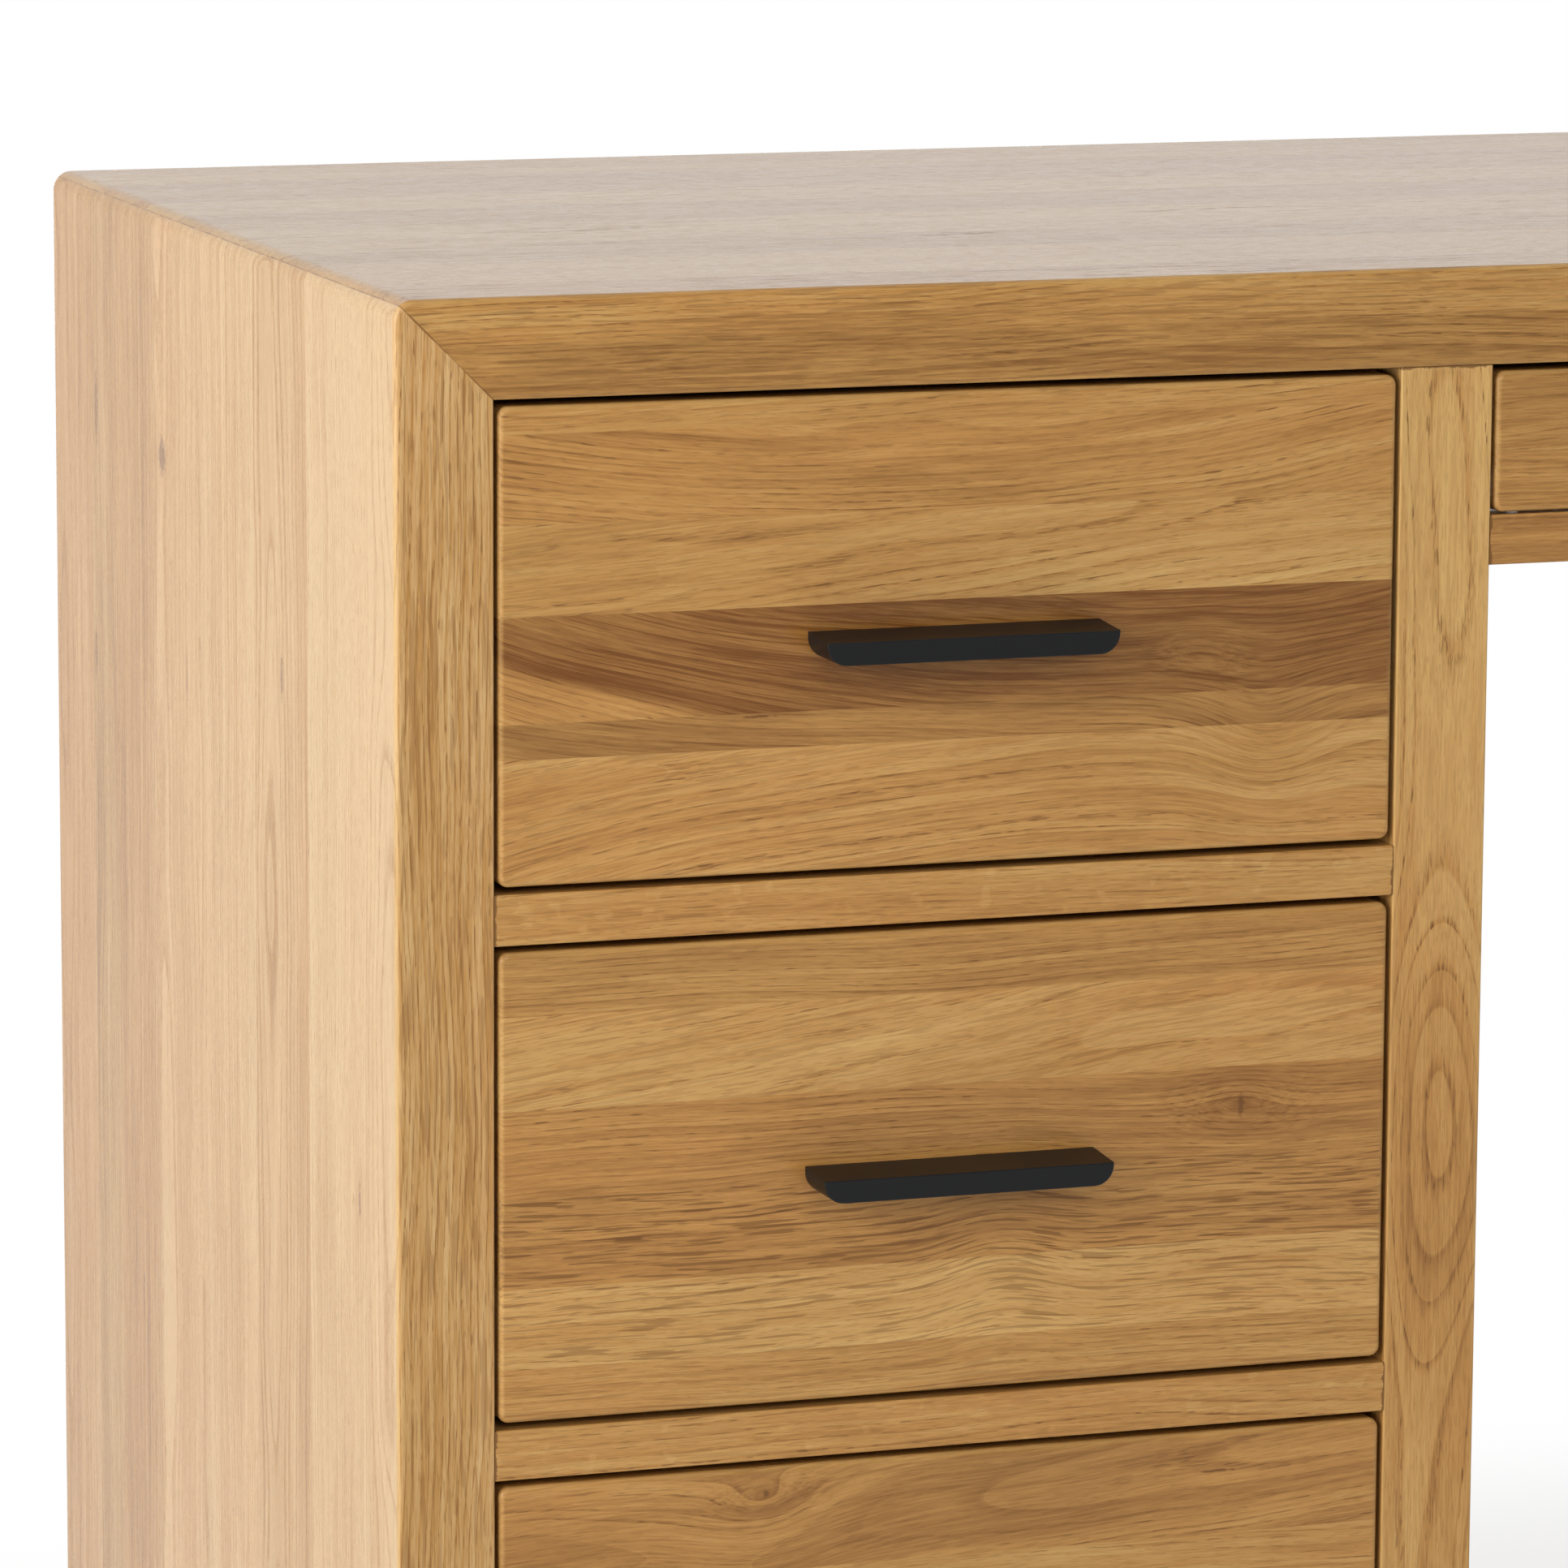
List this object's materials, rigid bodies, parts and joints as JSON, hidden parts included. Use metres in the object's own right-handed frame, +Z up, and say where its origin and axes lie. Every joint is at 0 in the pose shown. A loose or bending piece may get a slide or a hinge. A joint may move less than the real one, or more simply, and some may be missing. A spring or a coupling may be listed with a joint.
{
  "type": "pedestal desk",
  "caption": "Oak desk with mitred top and end panels, drawer pedestals on both sides of a kneehole, a shallow centre drawer and black lip handles; drawers slide on runners.",
  "frame": {"origin": "on the floor, under the middle of the desk's box, handles included", "axes": "+X to the right of someone facing the drawers, +Y from the drawers to the back, +Z up"},
  "size_m": [1.6, 0.626, 0.77],
  "materials": {
    "oak": "satin lacquered oak",
    "oak_drawer_front": "satin lacquered oak",
    "oak_veneer": "satin lacquered oak veneer",
    "drawer_box_wood": "clear matt lacquer",
    "plywood": "sanded birch plywood",
    "beech": "plain fluted beech",
    "black_metal": "matt black powder coat",
    "zinc_steel": "zinc plated",
    "glide_plastic": "moulded nylon"
  },
  "bodies": {
    "carcass": {"desktop": "oak", "left_end_panel": "oak", "right_end_panel": "oak", "left_inner_panel": "oak", "right_inner_panel": "oak", "left_drawer_rails": "oak", "right_drawer_rails": "oak", "left_bottom_rail": "oak", "right_bottom_rail": "oak", "centre_rail": "oak", "back_apron": "oak", "left_back_panel": "oak_veneer", "right_back_panel": "oak_veneer", "pedestal_floors": "oak_veneer", "wood_dowels": "beech", "cabinet_runners": "zinc_steel", "carcass_screws": "zinc_steel", "floor_glides": "glide_plastic"},
    "left_upper_drawer": {"left_upper_drawer_front": "oak_drawer_front", "left_upper_drawer_box": "drawer_box_wood", "left_upper_drawer_bottom": "plywood", "left_upper_drawer_handle": "black_metal", "left_upper_drawer_runners": "zinc_steel"},
    "left_upper_intermediate_runners": {"left_upper_drawer_intermediate_runners": "zinc_steel"},
    "left_middle_drawer": {"left_middle_drawer_front": "oak_drawer_front", "left_middle_drawer_box": "drawer_box_wood", "left_middle_drawer_bottom": "plywood", "left_middle_drawer_handle": "black_metal", "left_middle_drawer_runners": "zinc_steel"},
    "left_middle_intermediate_runners": {"left_middle_drawer_intermediate_runners": "zinc_steel"},
    "left_lower_drawer": {"left_lower_drawer_front": "oak_drawer_front", "left_lower_drawer_box": "drawer_box_wood", "left_lower_drawer_bottom": "plywood", "left_lower_drawer_handle": "black_metal", "left_lower_drawer_runners": "zinc_steel"},
    "left_lower_intermediate_runners": {"left_lower_drawer_intermediate_runners": "zinc_steel"},
    "right_upper_drawer": {"right_upper_drawer_front": "oak_drawer_front", "right_upper_drawer_box": "drawer_box_wood", "right_upper_drawer_bottom": "plywood", "right_upper_drawer_handle": "black_metal", "right_upper_drawer_runners": "zinc_steel"},
    "right_upper_intermediate_runners": {"right_upper_drawer_intermediate_runners": "zinc_steel"},
    "right_middle_drawer": {"right_middle_drawer_front": "oak_drawer_front", "right_middle_drawer_box": "drawer_box_wood", "right_middle_drawer_bottom": "plywood", "right_middle_drawer_handle": "black_metal", "right_middle_drawer_runners": "zinc_steel"},
    "right_middle_intermediate_runners": {"right_middle_drawer_intermediate_runners": "zinc_steel"},
    "right_lower_drawer": {"right_lower_drawer_front": "oak_drawer_front", "right_lower_drawer_box": "drawer_box_wood", "right_lower_drawer_bottom": "plywood", "right_lower_drawer_handle": "black_metal", "right_lower_drawer_runners": "zinc_steel"},
    "right_lower_intermediate_runners": {"right_lower_drawer_intermediate_runners": "zinc_steel"},
    "centre_drawer": {"centre_drawer_front": "oak_drawer_front", "centre_drawer_box": "drawer_box_wood", "centre_drawer_bottom": "plywood", "centre_drawer_handle": "black_metal", "centre_drawer_runners": "zinc_steel"},
    "centre_intermediate_runners": {"centre_drawer_intermediate_runners": "zinc_steel"}
  },
  "joints": [
    {"name": "left_upper_drawer_slide", "type": "slide", "parent": "carcass", "child": "left_upper_drawer", "axis": [0, -1, 0], "range_m": [0, 0.48]},
    {"name": "left_upper_intermediate_runners_slide", "type": "slide", "parent": "carcass", "child": "left_upper_intermediate_runners", "axis": [0, -1, 0], "range_m": [0, 0.24]},
    {"name": "left_middle_drawer_slide", "type": "slide", "parent": "carcass", "child": "left_middle_drawer", "axis": [0, -1, 0], "range_m": [0, 0.48]},
    {"name": "left_middle_intermediate_runners_slide", "type": "slide", "parent": "carcass", "child": "left_middle_intermediate_runners", "axis": [0, -1, 0], "range_m": [0, 0.24]},
    {"name": "left_lower_drawer_slide", "type": "slide", "parent": "carcass", "child": "left_lower_drawer", "axis": [0, -1, 0], "range_m": [0, 0.48]},
    {"name": "left_lower_intermediate_runners_slide", "type": "slide", "parent": "carcass", "child": "left_lower_intermediate_runners", "axis": [0, -1, 0], "range_m": [0, 0.24]},
    {"name": "right_upper_drawer_slide", "type": "slide", "parent": "carcass", "child": "right_upper_drawer", "axis": [0, -1, 0], "range_m": [0, 0.48]},
    {"name": "right_upper_intermediate_runners_slide", "type": "slide", "parent": "carcass", "child": "right_upper_intermediate_runners", "axis": [0, -1, 0], "range_m": [0, 0.24]},
    {"name": "right_middle_drawer_slide", "type": "slide", "parent": "carcass", "child": "right_middle_drawer", "axis": [0, -1, 0], "range_m": [0, 0.48]},
    {"name": "right_middle_intermediate_runners_slide", "type": "slide", "parent": "carcass", "child": "right_middle_intermediate_runners", "axis": [0, -1, 0], "range_m": [0, 0.24]},
    {"name": "right_lower_drawer_slide", "type": "slide", "parent": "carcass", "child": "right_lower_drawer", "axis": [0, -1, 0], "range_m": [0, 0.48]},
    {"name": "right_lower_intermediate_runners_slide", "type": "slide", "parent": "carcass", "child": "right_lower_intermediate_runners", "axis": [0, -1, 0], "range_m": [0, 0.24]},
    {"name": "centre_drawer_slide", "type": "slide", "parent": "carcass", "child": "centre_drawer", "axis": [0, -1, 0], "range_m": [0, 0.48]},
    {"name": "centre_intermediate_runners_slide", "type": "slide", "parent": "carcass", "child": "centre_intermediate_runners", "axis": [0, -1, 0], "range_m": [0, 0.24]}
  ],
  "couplings": [
    {"joint": "left_upper_intermediate_runners_slide", "follows": "left_upper_drawer_slide", "ratio": 0.5},
    {"joint": "left_middle_intermediate_runners_slide", "follows": "left_middle_drawer_slide", "ratio": 0.5},
    {"joint": "left_lower_intermediate_runners_slide", "follows": "left_lower_drawer_slide", "ratio": 0.5},
    {"joint": "right_upper_intermediate_runners_slide", "follows": "right_upper_drawer_slide", "ratio": 0.5},
    {"joint": "right_middle_intermediate_runners_slide", "follows": "right_middle_drawer_slide", "ratio": 0.5},
    {"joint": "right_lower_intermediate_runners_slide", "follows": "right_lower_drawer_slide", "ratio": 0.5},
    {"joint": "centre_intermediate_runners_slide", "follows": "centre_drawer_slide", "ratio": 0.5}
  ]
}
